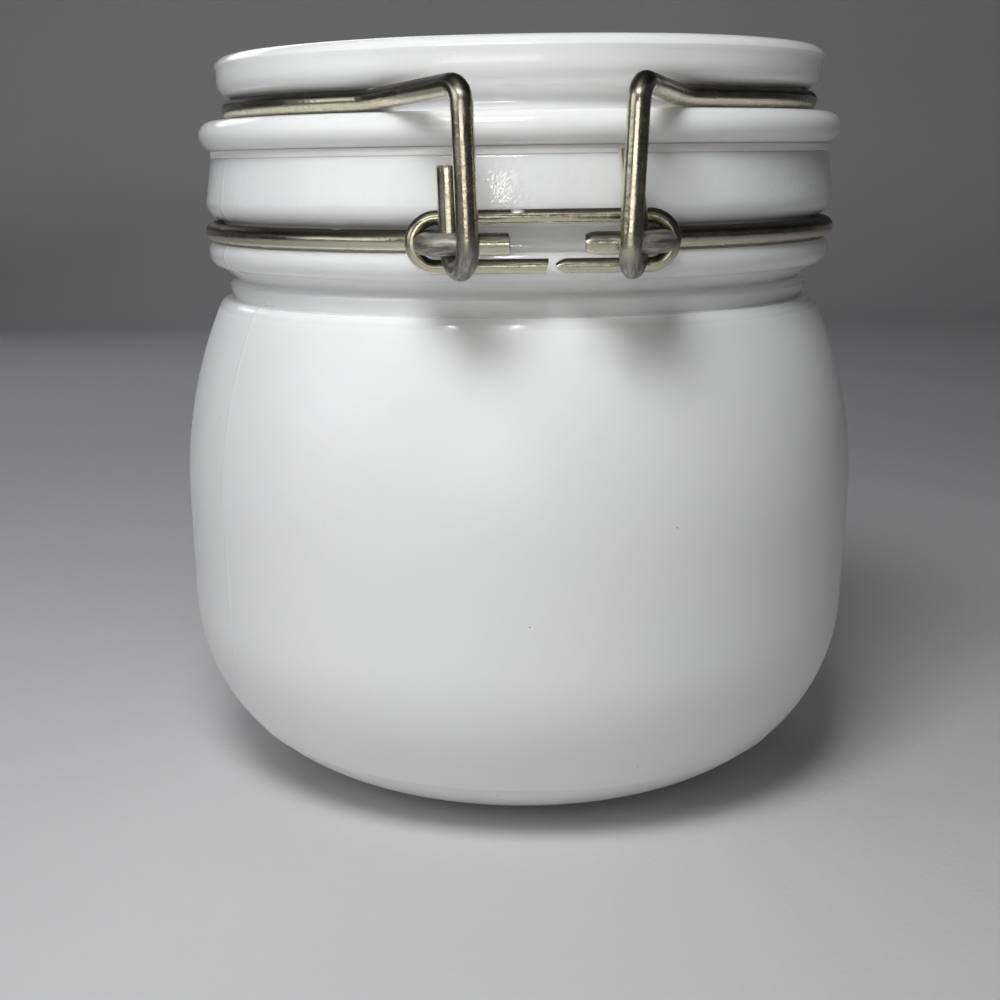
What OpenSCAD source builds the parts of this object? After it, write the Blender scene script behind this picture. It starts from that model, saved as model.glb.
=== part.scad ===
// Bail-top storage jar: pressed milk-glass jar and lid, rubber ring and bent-wire closure.
// +Z is up and the origin is the middle of the base. The hinge is at -Y and the latch at +Y.
// All pieces stand as they do with the lid shut and the latch let go.

/* [Jar] */
// Height of the rim above the table
rim_z = 96.05; // [90:0.05:110]
// Greatest diameter of the body
body_d = 104.4; // [100:0.2:116]
// Height at which the body is widest
belly_z = 45.6; // [40:0.2:52]
// Radius of the round heel between the side and the base
heel_r = 28.4; // [22:0.2:34]
// Amount that the side draws in between the belly and the heel
side_draw = 0.5; // [0.2:0.1:1.5]
// Diameter at the top of the shoulder
shoulder_d = 91.7; // [90:0.1:94]
// Depth of the top of the shoulder below the rim
shoulder_drop = 21.25; // [20.6:0.05:24]
// Height of the eased edge at the top of the shoulder
ease_h = 0.7; // [0.4:0.1:1.2]
// Width of the eased edge at the top of the shoulder
ease_w = 0.9; // [0.5:0.1:1.2]
// Thickness of the glass in the side
wall_t = 5; // [3:0.1:6]
// Thickness of the glass in the floor at the heel
floor_t = 6.5; // [5:0.1:9]
// Depth of the hollow under the base
punt_h = 2.4; // [1:0.1:3]
// Width of the ring that the jar stands on
foot_w = 3; // [2:0.1:5]

/* [Neck] */
// Diameter of the mouth
mouth_d = 80; // [74:0.2:82]
// Outer diameter of the neck where it swells most
neck_d = 96.2; // [94:0.2:100]
// Amount that the neck narrows from its swell up to the rim
neck_draw = 0.8; // [0.3:0.1:1.4]
// Radius of the neck's lower edge, above the wire
neck_edge_r = 2.8; // [2:0.1:3.6]
// Rounding of the rim
rim_round = 0.5; // [0.4:0.1:1.5]
// Diameter of the bead under the wire
bead_d = 95.7; // [93:0.1:97]
// Radius of the bead
bead_r = 2.4; // [1.8:0.1:2.8]
// Diameter of the crease between the bead and the collar
crease_d = 87; // [86:0.2:88]
// Height of the crease
crease_h = 0.3; // [0.2:0.05:0.8]
// Diameter of the collar between the crease and the shoulder
collar_d = 89.5; // [89:0.1:90.4]
// Diameter of the collar's foot, in the notch above the shoulder
foot_d = 88; // [87.4:0.1:88.8]
// Height of the collar from its foot up to its lip
collar_h = 1.8; // [1.2:0.1:2.2]
// Height of the collar's lip
lip_h = 0.5; // [0.3:0.05:0.8]
// Height of the slope from the lip in to the crease
lip_slope_h = 0.5; // [0.3:0.05:0.8]
// Depth of the bead's middle below the neck wire's centre
bead_drop = 3.1; // [2.9:0.05:3.3]
// Depth of the neck wire's centre below the rim
ring_drop = 11.05; // [10.2:0.05:12]

/* [Lid] */
// Height of the lid from its sealing face to its top
lid_h = 14; // [13.4:0.1:17]
// Diameter of the flange
flange_d = 97.9; // [96:0.2:102]
// Thickness of the flange
flange_t = 4.55; // [4:0.05:6]
// Diameter of the upper band below its mould line
band_d = 92; // [89:0.2:94]
// Width of the mould line that stands out round the band
mould_line = 0.35; // [0.2:0.05:0.6]
// Width of the step on the mould line's upper side
mould_step = 0.1; // [0.05:0.05:0.2]
// Rounding of the band's lower edge
band_round = 2.6; // [1.6:0.1:3]
// Height of the rounded edge round the top
edge_h = 1.4; // [1:0.1:2]
// Width of the rounded edge round the top
edge_w = 2.4; // [2:0.1:3.5]
// Depth of the plug below the sealing face
plug_h = 3.4; // [2.5:0.1:4]
// Width of the plug's wall
plug_w = 4.5; // [3:0.1:7]
// Depth of the domed hollow under the lid
dome_h = 8.5; // [5:0.1:9.5]

/* [Gasket] */
// Thickness of the rubber ring
gasket_t = 0.85; // [0.7:0.05:2]
// Distance from the neck's edge in to the rubber ring's edge
gasket_inset = 0.1; // [0:0.05:1]

/* [Ring wires] */
// Diameter of the neck and lid wires
wire_d = 2.85; // [2.6:0.05:3.2]
// Depth that the lid wire lies inside the band's face
lid_wire_sink = 0.7; // [0.3:0.1:1.2]
// Inner bend radius of these wires
wire_bend = 1; // [0.8:0.1:1.4]

/* [Hinge] */
// Distance between the two hooks at the pins
hook_pitch = 19.9; // [18:0.1:21]
// Distance between the two hooks at the top
hook_top_pitch = 21.5; // [20:0.1:23]
// Height of the hooks' corners above the lid wire's ring
hook_rise = 1.25; // [0.6:0.05:1.6]
// Slant of the left arm, from the groove to its hook, seen from above
slant_left = 30; // [20:1:34]
// Slant of the right arm
slant_right = 25; // [20:1:34]
// Distance that the left arm's bend stands out from the ring
arm_out_left = 0.6; // [0.4:0.1:2]
// Distance that the right arm's bend stands out from the ring
arm_out_right = 1.7; // [0.4:0.1:2]
// Radius of the arms' bends
arm_bend = 12; // [6:1:16]
// Outward twist of the left hook's back leg
twist_left = 18; // [0:0.5:18.5]
// Outward twist of the right hook's back leg
twist_right = 17; // [0:0.5:18.5]
// Lean of the right hook's back leg towards the middle going up
back_lean = 9; // [1:0.5:12]
// Length of the left back leg above the pin
back_leg_left = 9.9; // [7:0.1:11]
// Length of the right back leg above the pin
back_leg_right = 11.8; // [7:0.1:12.2]
// Gap between the tips of the two pins
pin_gap = 9.1; // [6:0.1:12]
// Least distance between the jogs where they leave the groove
jog_pitch = 24.6; // [23:0.2:28]
// Angle at which the jogs spread
jog_spread = 22.5; // [20:0.5:25]
// Diameter of the oval link's wire
link_wire_d = 1.9; // [1.5:0.1:2.2]
// Room above and below the jogs inside the oval link
link_room = 0.75; // [0.4:0.05:1]
// Split in the oval link's lower run
link_split = 0.9; // [0.4:0.1:2]
// Place of the split along the lower run
split_x = 1.2; // [-5:0.1:5]

/* [Latch] */
// Half length of the pivot bar between its jogs
bar_half = 10; // [9:0.2:12]
// Distance between the lever's two eyes
eye_pitch = 10; // [8:0.2:11]
// Diameter of the lever's wire
lever_d = 2.8; // [2.4:0.05:3]
// Distance of the link's pivot below the lever's pivot with the latch shut
crank_h = 8; // [7:0.1:9]
// Length of the lever's handle below the link's pivot
handle_l = 31; // [27:0.5:36]
// Diameter of the latch link's wire
bail_d = 2.4; // [2:0.05:2.8]
// Half width of the lid wire's tongue
tongue_half = 5; // [4.6:0.1:6]
// Length of the tongue past the link's bar
tongue_tip = 1.5; // [1:0.1:2]
// Angle of the lever away from its shut place
lever_rest = 20; // [18:0.5:24]
// Part of the lever's turn by which the link leans out
lean_share = 0.3; // [0.25:0.01:0.35]

/* [Clearances] */
// Gap between the lid's rubber and the rim
seal_gap = 0.1; // [0.05:0.01:0.3]
// Gap between a wire and its glass groove
groove_gap = 0.15; // [0.05:0.01:0.3]
// Gap between the rubber ring and the plug
gasket_gap = 0.2; // [0.1:0.05:0.5]
// Room for the plug to swing out of the mouth
swing_gap = 2.4; // [2:0.1:3]
// Running gap between a pin and the wire bent round it
pivot_gap = 0.1; // [0.06:0.01:0.2]
// Gap between wires that pass each other
pass_gap = 0.35; // [0.25:0.05:0.6]
// Gap between wires side by side in the latch
side_gap = 0.9; // [0.6:0.05:1.5]
// Gap between the lever's eyes and the neck
eye_gap = 0.8; // [0.5:0.1:1.5]
// Gap between the shut handle and the body
handle_gap = 1.5; // [1:0.1:4]
// Gap left between the link's bar and the tongue with the latch shut
latch_gap = 0.8; // [0.7:0.05:1.2]

/* [Hidden] */
$fn = 96;

glass_colour = "white";
rubber_colour = "ivory";
wire_colour = "silver";

// Jar
body_r = body_d / 2;
heel_top_r = body_r - side_draw;
heel_x = heel_top_r - heel_r;
shoulder_r = shoulder_d / 2;
shoulder_z = rim_z - shoulder_drop;
belly_rise = shoulder_z - belly_z;
belly_in = body_r - shoulder_r;
// Radius of the arc that is upright at the belly and meets the shoulder's top
shoulder_arc = (belly_rise * belly_rise + belly_in * belly_in) / (2 * belly_in);
ease_z = shoulder_z - ease_h;
ease_r = body_r - shoulder_arc + sqrt(shoulder_arc * shoulder_arc - (ease_z - belly_z) * (ease_z - belly_z));
// Point on the eased edge's slope, carried on past the body
ease_far = [ease_r, ease_z] + 10 * [ease_w, -ease_h];
punt_r = heel_x - foot_w;
punt_arc = (punt_r * punt_r + punt_h * punt_h) / (2 * punt_h);

// Neck
wire_r = wire_d / 2;
groove_r = wire_r + groove_gap;
neck_r = neck_d / 2;
bead_out = bead_d / 2;
crease_r = crease_d / 2;
collar_r = collar_d / 2;
foot_r = foot_d / 2;
mouth_r = mouth_d / 2;
// Radius of the arc inside the shoulder, upright at the belly, that ends at the mouth's wall
hollow_in = body_r - wall_t - mouth_r;
hollow_arc = (belly_rise * belly_rise + hollow_in * hollow_in) / (2 * hollow_in);
neck_z = rim_z - ring_drop;
// The wire's outer side is level with the neck
neck_wire_r = neck_r - wire_r + groove_gap;
neck_core_r = neck_wire_r - groove_r + groove_gap;
neck_edge_z = neck_z + groove_r + neck_edge_r;
bead_z = neck_z - bead_drop;
collar_z = shoulder_z + collar_h;
lip_z = collar_z + lip_h;
crease_z = lip_z + lip_slope_h;
crease_top = crease_z + crease_h;
// Corner of the slope under the bead, a little inside the bead's round
flank_corner = [bead_out - 0.53 * bead_r, bead_z - 0.76 * bead_r];

// Lid
seal_z = rim_z + seal_gap + gasket_t;
lid_top = seal_z + lid_h;
flange_r = flange_d / 2;
flange_bead = flange_t / 2;
band_r = band_d / 2;
lid_ring_z = seal_z + flange_t + groove_r;
lid_wire_r = band_r - lid_wire_sink - wire_r;
band_low = lid_ring_z + groove_r;
corner_z = lid_top - edge_h;
corner_r = band_r + mould_line;
edge_in = corner_r - mould_step - edge_w;
// Radius of the edge that runs level into the top and meets the mould line
edge_r = (edge_w * edge_w + edge_h * edge_h) / (2 * edge_h);
plug_r = mouth_r - swing_gap;
plug_in = plug_r - plug_w;
plug_low = seal_z - plug_h;
dome_arc = (plug_in * plug_in + dome_h * dome_h) / (2 * dome_h);
gasket_in = plug_r + gasket_gap;
gasket_out = neck_r - neck_draw - gasket_inset;

// Bent wires: a bend is a hair thicker than the straights, which end just inside it
bend_r = wire_r + wire_bend;
lead = 1.4 * bend_r;
bend_swell = 0.02;
bend_lap = 0.1;

// Hinge
link_r = link_wire_d / 2;
link_y = max(neck_r, bead_out) + pass_gap + link_r;
turn_reach = wire_d + pivot_gap;
pin_y = max(link_y + link_r + pass_gap + wire_r, flange_r + pass_gap) + turn_reach;
front_y = pin_y + turn_reach;
hook_low_x = hook_pitch / 2;
hook_top_x = hook_top_pitch / 2;
hook_top = [hook_top_x, -front_y, lid_ring_z + hook_rise];
hook_low = [hook_low_x, -front_y, neck_z];
hook_lean = atan((hook_top_x - hook_low_x) / (hook_top.z - neck_z));
// The jogs run clear of the hooks' back legs
back_x = hook_low_x + 2 * turn_reach * tan(max(twist_left, twist_right));
back_y = turn_reach - pin_y;
jog_y = tangent_point(neck_wire_r, asin((jog_pitch / 2 + lead) / neck_wire_r), jog_pitch / 2).y;
jog_clear = (turn_reach - (jog_y - back_y) * sin(jog_spread)) / cos(jog_spread);
jog_x = max(jog_pitch / 2, back_x + jog_clear);
jog_angle = asin((jog_x + lead) / neck_wire_r);
jog_start = ring_point(neck_wire_r, jog_angle);
jog_corner = tangent_point(neck_wire_r, jog_angle, jog_x);
pin_corner = [jog_x + (pin_y + jog_corner.y) * tan(jog_spread), -pin_y];
// Half length of the oval link, which bears on the outside of the jogs
jog_at_link = jog_x + (link_y + jog_corner.y) * tan(jog_spread) + wire_r / cos(jog_spread);
link_end_x = jog_at_link + (pivot_gap + link_r) / cos(jog_spread);
link_half_h = wire_r + link_room + link_r;

// Latch
lever_r = lever_d / 2;
bail_r = bail_d / 2;
eye_r = wire_r + pivot_gap + lever_r;
bail_eye_r = lever_r + pivot_gap + bail_r;
pivot_y = max(neck_r, bead_out) + eye_gap + eye_r + lever_r;
eye_x = eye_pitch / 2;
bail_x = bar_half + wire_r + side_gap + bail_r;
arm_x = bail_x + bail_r + side_gap + lever_r;
lever_bend = lever_r + wire_bend;
handle_out = body_r + handle_gap + lever_r - (pivot_y - eye_r);
handle_tilt = asin(handle_out / handle_l);
bail_l = lid_ring_z + wire_r + latch_gap + bail_r - (neck_z - crank_h);
bar_y = pivot_y - eye_r + bail_eye_r;
tongue_y = bar_y + tongue_tip;
bail_rest = lean_share * lever_rest;
front_angle = asin((bar_half + lead) / neck_wire_r);
tongue_angle = asin((tongue_half + lead) / lid_wire_r);

// Point on a ring of radius r, at an angle from the -Y axis towards +X
function ring_point(r, angle) = [r * sin(angle), -r * cos(angle)];

// Point on the ring's tangent at that angle, where it reaches the given x
function tangent_point(r, angle, x) =
    ring_point(r, angle) - (r * sin(angle) - x) * [1, tan(angle)];

// Corner of a lid wire's arm, where its line from the hook comes within a distance of the ring
function arm_corner(slant, out) =
    let (away = [sin(slant), cos(slant)],
         from = [hook_top.x, hook_top.y],
         along = from * away,
         r = lid_wire_r + out,
         run = -along - sqrt(along * along - from * from + r * r),
         corner = from + run * away)
    [corner.x, corner.y, lid_ring_z];

// Angle at which the ring's tangent leaves for that corner
function arm_angle(corner) =
    atan2(corner.x, -corner.y) + acos(lid_wire_r / norm([corner.x, corner.y]));

// The same point on the +Y side, and on the -X side
function flip(p) = [p.x, -p.y];
function mirrored(p) = [-p.x, p.y];

// A path on the +X side carried on to its mirror image
function across(path) = concat(path, [for (i = [len(path) - 1 : -1 : 0]) mirrored(path[i])]);

function unit(v) = v / norm(v);
function cross_2d(a, b) = a.x * b.y - a.y * b.x;
function leg(path, i) = unit(path[i + 1] - path[i]);
function turn(path, i) = acos(leg(path, i - 1) * leg(path, i));
function is_inner(path, i) = i > 0 && i < len(path) - 1;
// Length that the bend at a corner takes from each of its legs
function trim(path, i, r) = is_inner(path, i) ? r * tan(turn(path, i) / 2) : 0;

// Straight wire in the XY plane
module rod(from, to, d) {
    run = to - from;
    translate([from.x, from.y, 0])
        rotate([0, 0, atan2(run.y, run.x)])
            rotate([0, 90, 0])
                cylinder(h = norm(run), d = d);
}

// Wire bent round a centre in the XY plane
module curl(centre, r, start, sweep, d) {
    translate([centre.x, centre.y, 0])
        rotate([0, 0, start])
            rotate_extrude(angle = sweep)
                translate([r, 0])
                    circle(d = d + bend_swell);
}

// Wire along a path in the XY plane, with each corner bent to radius r.
// The first and last straight can run on by a lap into a bend made elsewhere.
module wire(path, r, d, first_lap = 0, last_lap = 0) {
    last = len(path) - 1;
    for (i = [0 : last - 1]) {
        lap_in = i == 0 ? first_lap : bend_lap;
        lap_out = i == last - 1 ? last_lap : bend_lap;
        rod(path[i] + leg(path, i) * (trim(path, i, r) - lap_in),
            path[i + 1] - leg(path, i) * (trim(path, i + 1, r) - lap_out), d);
    }
    for (i = [1 : 1 : last - 1]) {
        before = leg(path, i - 1);
        after = leg(path, i);
        angle = turn(path, i);
        heading = atan2(before.y, before.x);
        is_left = cross_2d(before, after) > 0;
        centre = path[i] + unit(after - before) * r / cos(angle / 2);
        curl(centre, r, is_left ? heading - 90 : heading + 90 - angle, angle, d);
    }
}

// Straight wire between two points in space
module rod_3d(from, to, d) {
    run = to - from;
    translate(from)
        rotate([0, acos(run.z / norm(run)), atan2(run.y, run.x)])
            cylinder(h = norm(run), d = d);
}

// Bend of a wire at a corner in space, between two unit directions
module bend_3d(corner, before, after, r, d) {
    angle = acos(before * after);
    normal = unit(cross(before, after));
    side = cross(normal, before);
    multmatrix([[before.x, side.x, normal.x, corner.x],
                [before.y, side.y, normal.y, corner.y],
                [before.z, side.z, normal.z, corner.z],
                [0, 0, 0, 1]])
        curl([-r * tan(angle / 2), r], r, -90, angle, d);
}

// Wire along a path in space, with a bend radius for each inner corner and laps at both ends
module wire_3d(path, radii, d) {
    last = len(path) - 1;
    for (i = [0 : last - 1]) {
        rod_3d(path[i] + leg(path, i) * (trim(path, i, radii[i]) - bend_lap),
               path[i + 1] - leg(path, i) * (trim(path, i + 1, radii[i + 1]) - bend_lap), d);
    }
    for (i = [1 : 1 : last - 1]) {
        bend_3d(path[i], leg(path, i - 1), leg(path, i), radii[i], d);
    }
}

// Stands a flat path up in the YZ plane
module along_y() {
    rotate([90, 0, 90]) children();
}

// Stands a flat path up in the XZ plane
module along_x() {
    rotate([90, 0, 0]) children();
}

module both_sides() {
    children();
    mirror([1, 0, 0]) children();
}

// Half section of the jar's outside
module jar_outside() {
    square([heel_x, crease_top]);
    intersection() {
        translate([heel_x, heel_r]) circle(r = heel_r);
        translate([heel_x, 0]) square([heel_r, heel_r]);
    }
    polygon([[heel_x, heel_r], [heel_top_r, heel_r], [body_r, belly_z], [heel_x, belly_z]]);
    intersection() {
        translate([body_r - shoulder_arc, belly_z]) circle(r = shoulder_arc);
        polygon([[heel_x, belly_z], [ease_far.x, belly_z], ease_far,
                 [ease_r - ease_w, shoulder_z], [heel_x, shoulder_z]]);
    }
    polygon([[heel_x, shoulder_z], [foot_r, shoulder_z], [collar_r, collar_z], [collar_r, lip_z],
             [crease_r, crease_z], [crease_r, crease_top], [heel_x, crease_top]]);
    neck_outside();
}

// Half section of the neck's outside, from the crease up
module neck_outside() {
    polygon([[heel_x, crease_top], [crease_r, crease_top],
             flank_corner, [bead_out - bead_r, bead_z], [heel_x, bead_z]]);
    difference() {
        union() {
            translate([bead_out - bead_r, bead_z]) circle(r = bead_r);
            translate([heel_x, bead_z]) square([neck_core_r - heel_x, rim_z - rim_round - bead_z]);
            translate([neck_r - neck_edge_r, neck_edge_z]) circle(r = neck_edge_r);
            polygon([[heel_x, neck_edge_z], [neck_r, neck_edge_z],
                     [neck_r - neck_draw, rim_z - rim_round], [heel_x, rim_z - rim_round]]);
            translate([neck_r - neck_draw - rim_round, rim_z - rim_round]) circle(r = rim_round);
            translate([heel_x, rim_z - 2 * rim_round])
                square([neck_r - neck_draw - rim_round - heel_x, 2 * rim_round]);
        }
        translate([neck_wire_r, neck_z]) circle(r = groove_r);
    }
}

// Half section of the hollow inside the jar
module jar_hollow() {
    translate([0, floor_t]) square([heel_x, belly_z - floor_t]);
    intersection() {
        translate([heel_x, heel_r]) circle(r = heel_r - wall_t);
        translate([heel_x, floor_t]) square([heel_r, heel_r - floor_t]);
    }
    polygon([[heel_x, heel_r], [heel_top_r - wall_t, heel_r],
             [body_r - wall_t, belly_z], [heel_x, belly_z]]);
    intersection() {
        translate([body_r - wall_t - hollow_arc, belly_z]) circle(r = hollow_arc);
        translate([0, belly_z]) square([body_r, belly_rise]);
    }
    translate([0, belly_z]) square([mouth_r, 2 * rim_z]);
}

module jar_body() {
    color(glass_colour)
        rotate_extrude() {
            difference() {
                jar_outside();
                jar_hollow();
                translate([0, punt_h - punt_arc]) {
                    intersection() {
                        circle(r = punt_arc);
                        square(2 * punt_arc);
                    }
                }
            }
        }
}

// Half section of the lid
module lid_section() {
    difference() {
        union() {
            translate([0, seal_z]) square([flange_r - flange_bead, flange_t]);
            translate([flange_r - flange_bead, seal_z + flange_bead]) circle(r = flange_bead);
            translate([0, seal_z]) square([lid_wire_r, lid_h - edge_h]);
            translate([0, band_low]) square([band_r - band_round, band_round]);
            translate([band_r - band_round, band_low + band_round]) circle(r = band_round);
            polygon([[0, band_low + band_round], [band_r, band_low + band_round],
                     [band_r, corner_z - 2 * mould_line], [corner_r, corner_z], [0, corner_z]]);
            translate([0, corner_z]) square([edge_in, edge_h]);
            intersection() {
                translate([edge_in, lid_top - edge_r]) circle(r = edge_r);
                translate([edge_in, corner_z]) square([2 * edge_w, edge_h]);
            }
            translate([0, plug_low]) square([plug_r, plug_h]);
        }
        translate([lid_wire_r, lid_ring_z]) circle(r = groove_r);
        intersection() {
            translate([0, plug_low + dome_h - dome_arc]) circle(r = dome_arc);
            translate([0, plug_low]) square([plug_in, dome_h]);
        }
    }
}

module lid() {
    color(glass_colour)
        rotate_extrude() lid_section();
}

module gasket() {
    color(rubber_colour)
        translate([0, 0, seal_z - gasket_t])
            difference() {
                cylinder(h = gasket_t, r = gasket_out);
                translate([0, 0, -gasket_t]) cylinder(h = 3 * gasket_t, r = gasket_in);
            }
}

// Wire round the neck, with the hinge pins at the back and the latch's pivot bar at the front
module neck_ring() {
    pin_tip = [pin_gap / 2, -pin_y];
    bar_start = flip(ring_point(neck_wire_r, front_angle));
    bar_corner = flip(tangent_point(neck_wire_r, front_angle, bar_half));
    color(wire_colour)
        translate([0, 0, neck_z]) {
            both_sides() {
                wire([jog_start, jog_corner, pin_corner, pin_tip], bend_r, wire_d, bend_lap);
                curl([0, 0], neck_wire_r, jog_angle - 90, 180 - jog_angle - front_angle, wire_d);
            }
            wire(across([bar_start, bar_corner, [bar_half, pivot_y]]), bend_r, wire_d, bend_lap, bend_lap);
        }
}

// Lower part of a J-hook on the +X side: a return under the pin and a back leg
module hook_return(twist, back_path) {
    turn_r = turn_reach / cos(twist);
    translate(hook_low)
        rotate([0, hook_lean, 0])
            rotate([0, 0, -twist]) {
                along_y() curl([turn_r, 0], turn_r, 180, 180, wire_d);
                translate([0, 2 * turn_r, 0])
                    along_x() wire(back_path, bend_r, wire_d, bend_lap);
            }
}

// Half of the lid wire on the +X side: ring, arm, hook and back leg
module lid_wire_half(slant, out, twist, back_path) {
    corner = arm_corner(slant, out);
    angle = arm_angle(corner);
    start = ring_point(lid_wire_r, angle);
    translate([0, 0, lid_ring_z])
        curl([0, 0], lid_wire_r, angle - 90, 180 - angle - tongue_angle, wire_d);
    wire_3d([[start.x, start.y, lid_ring_z], corner, hook_top, hook_low], [0, arm_bend, bend_r, 0], wire_d);
    hook_return(twist, back_path);
}

// Wire round the lid, with the hooks at the back and the tongue at the front
module lid_ring() {
    back_bend = [0, bend_r * tan(back_lean)];
    back_tip = back_bend + (back_leg_right - back_bend.y) * [-sin(back_lean), cos(back_lean)];
    tongue_start = flip(ring_point(lid_wire_r, tongue_angle));
    tongue_corner = flip(tangent_point(lid_wire_r, tongue_angle, tongue_half));
    color(wire_colour) {
        lid_wire_half(slant_right, arm_out_right, twist_right, [[0, 0], back_bend, back_tip]);
        mirror([1, 0, 0]) lid_wire_half(slant_left, arm_out_left, twist_left, [[0, 0], [0, back_leg_left]]);
        translate([0, 0, lid_ring_z])
            wire(across([tongue_start, tongue_corner, [tongue_half, tongue_y]]),
                 bend_r, wire_d, bend_lap, bend_lap);
    }
}

// Oval loop that ties the neck ring's jogs together
module hinge_link() {
    end_x = link_end_x - link_half_h;
    lap_x = end_x + bend_lap;
    color(wire_colour)
        translate([0, -link_y, neck_z])
            along_x() {
                rod([-lap_x, link_half_h], [lap_x, link_half_h], link_wire_d);
                rod([-lap_x, -link_half_h], [split_x - link_split / 2, -link_half_h], link_wire_d);
                rod([split_x + link_split / 2, -link_half_h], [lap_x, -link_half_h], link_wire_d);
                curl([end_x, 0], link_half_h, -90, 180, link_wire_d);
                curl([-end_x, 0], link_half_h, 90, 180, link_wire_d);
            }
}

// Lever with its eyes on the pivot bar
module latch_lever() {
    color(wire_colour)
        translate([0, pivot_y, neck_z])
            rotate([lever_rest, 0, 0]) {
                both_sides() {
                    translate([eye_x, 0, 0])
                        along_y() curl([0, 0], eye_r, -90, 270, lever_d);
                    translate([0, -eye_r, 0])
                        along_x() wire([[eye_x, 0], [eye_x, -crank_h], [arm_x - lever_bend, -crank_h]],
                                       lever_bend, lever_d, bend_lap, bend_lap);
                    translate([0, -eye_r, -crank_h])
                        rotate([handle_tilt, 0, 0])
                            along_x() curl([arm_x - lever_bend, -lever_bend], lever_bend, 0, 90, lever_d);
                }
                translate([0, -eye_r, -crank_h])
                    rotate([handle_tilt, 0, 0])
                        along_x() wire(across([[arm_x, -lever_bend], [arm_x, -handle_l]]),
                                       lever_bend, lever_d, bend_lap, bend_lap);
            }
}

// Bail that hangs on the lever and reaches over the tongue
module latch_link() {
    color(wire_colour)
        translate([0, pivot_y, neck_z])
            rotate([lever_rest, 0, 0])
                translate([0, -eye_r, -crank_h])
                    rotate([-lever_rest - bail_rest, 0, 0]) {
                        both_sides()
                            translate([bail_x, 0, 0])
                                along_y() curl([0, 0], bail_eye_r, 90, 270, bail_d);
                        translate([0, bail_eye_r, 0])
                            along_x() wire(across([[bail_x, 0], [bail_x, bail_l]]),
                                           lever_bend, bail_d, bend_lap, bend_lap);
                    }
}

jar_body();
lid();
gasket();
neck_ring();
lid_ring();
hinge_link();
latch_lever();
latch_link();
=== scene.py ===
"""Looks of the bail-top storage jar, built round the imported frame.

Shapes are in millimetres, and angles round the jar go from -Y towards +X. Materials, lamps and the
camera are in metres.
"""
import math
from collections import namedtuple

import bpy
import numpy as np
from mathutils import Matrix, Vector


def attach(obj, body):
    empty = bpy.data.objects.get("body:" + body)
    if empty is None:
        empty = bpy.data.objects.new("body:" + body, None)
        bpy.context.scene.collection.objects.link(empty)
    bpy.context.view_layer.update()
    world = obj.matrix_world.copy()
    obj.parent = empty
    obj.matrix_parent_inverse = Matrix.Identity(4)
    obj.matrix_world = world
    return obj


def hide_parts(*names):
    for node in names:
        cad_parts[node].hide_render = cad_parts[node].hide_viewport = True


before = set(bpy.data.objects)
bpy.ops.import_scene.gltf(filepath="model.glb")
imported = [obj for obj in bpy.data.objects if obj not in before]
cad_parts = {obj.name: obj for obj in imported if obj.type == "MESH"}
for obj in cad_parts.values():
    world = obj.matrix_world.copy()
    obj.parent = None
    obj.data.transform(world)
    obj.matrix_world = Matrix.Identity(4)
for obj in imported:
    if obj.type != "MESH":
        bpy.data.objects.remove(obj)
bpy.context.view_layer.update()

MM = 0.001
AXIS_X, AXIS_Y, AXIS_Z = np.eye(3)
# Takes a point on the hinge side to the latch side
TO_LATCH = np.array([1.0, -1.0, 1.0])

# Jar
RIM_Z = 96.05
BODY_R = 52.2
BELLY_Z = 45.6
HEEL_R = 28.4
HEEL_TOP_R = 51.7
HEEL_X = HEEL_TOP_R - HEEL_R
SHOULDER_R = 45.85
SHOULDER_Z = 74.8
BELLY_RISE = SHOULDER_Z - BELLY_Z
SHOULDER_ARC = (BELLY_RISE ** 2 + (BODY_R - SHOULDER_R) ** 2) / (2 * (BODY_R - SHOULDER_R))
EASE_Z = 74.1
EASE_W = 0.9
WALL_T = 5.0
FLOOR_T = 6.5
PUNT_H = 2.4
FOOT_W = 3.0
PUNT_R = HEEL_X - FOOT_W
PUNT_ARC = (PUNT_R ** 2 + PUNT_H ** 2) / (2 * PUNT_H)

# Neck
WIRE_R = 1.425
GROOVE_GAP = 0.15
GROOVE_R = WIRE_R + GROOVE_GAP
MOUTH_R = 40.0
NECK_R = 48.1
NECK_DRAW = 0.8
NECK_EDGE_R = 2.8
RIM_ROUND = 0.5
BEAD_OUT = 47.85
BEAD_R = 2.4
FOOT_R = 44.0
COLLAR_R = 44.75
COLLAR_Z = 76.6
LIP_Z = 77.1
CREASE_R = 43.5
CREASE_Z = 77.6
CREASE_TOP = 77.9
NECK_Z = 85.0
BEAD_Z = 81.9
NECK_WIRE_R = 46.825
NECK_CORE_R = 45.4
NECK_EDGE_Z = NECK_Z + GROOVE_R + NECK_EDGE_R
# Angles at which an arc of the half section starts and ends
BEAD_SWEEP = (-81.5, 41.3)
NECK_GROOVE_SWEEP = (285.6, 155)
NECK_EDGE_SWEEP = (-87, 15.4)

# Lid
SEAL_Z = 97.0
LID_TOP = 111.0
FLANGE_R = 48.95
FLANGE_T = 4.55
FLANGE_BEAD = FLANGE_T / 2
BAND_R = 46.0
MOULD_LINE = 0.35
MOULD_STEP = 0.1
BAND_ROUND = 2.6
BAND_SWEEP = (-79, 0)
EDGE_H = 1.4
EDGE_W = 2.4
EDGE_R = (EDGE_W ** 2 + EDGE_H ** 2) / (2 * EDGE_H)
LID_RING_Z = 103.125
LID_WIRE_R = 43.875
BAND_LOW = LID_RING_Z + GROOVE_R
CORNER_Z = LID_TOP - EDGE_H
CORNER_R = BAND_R + MOULD_LINE
PLUG_R = 37.6
PLUG_IN = 33.1
PLUG_LOW = 93.6
DOME_H = 8.5
DOME_ARC = (PLUG_IN ** 2 + DOME_H ** 2) / (2 * DOME_H)
GASKET_IN = 37.8
GASKET_OUT = 47.2
GASKET_LIFT = 0.01

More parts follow.
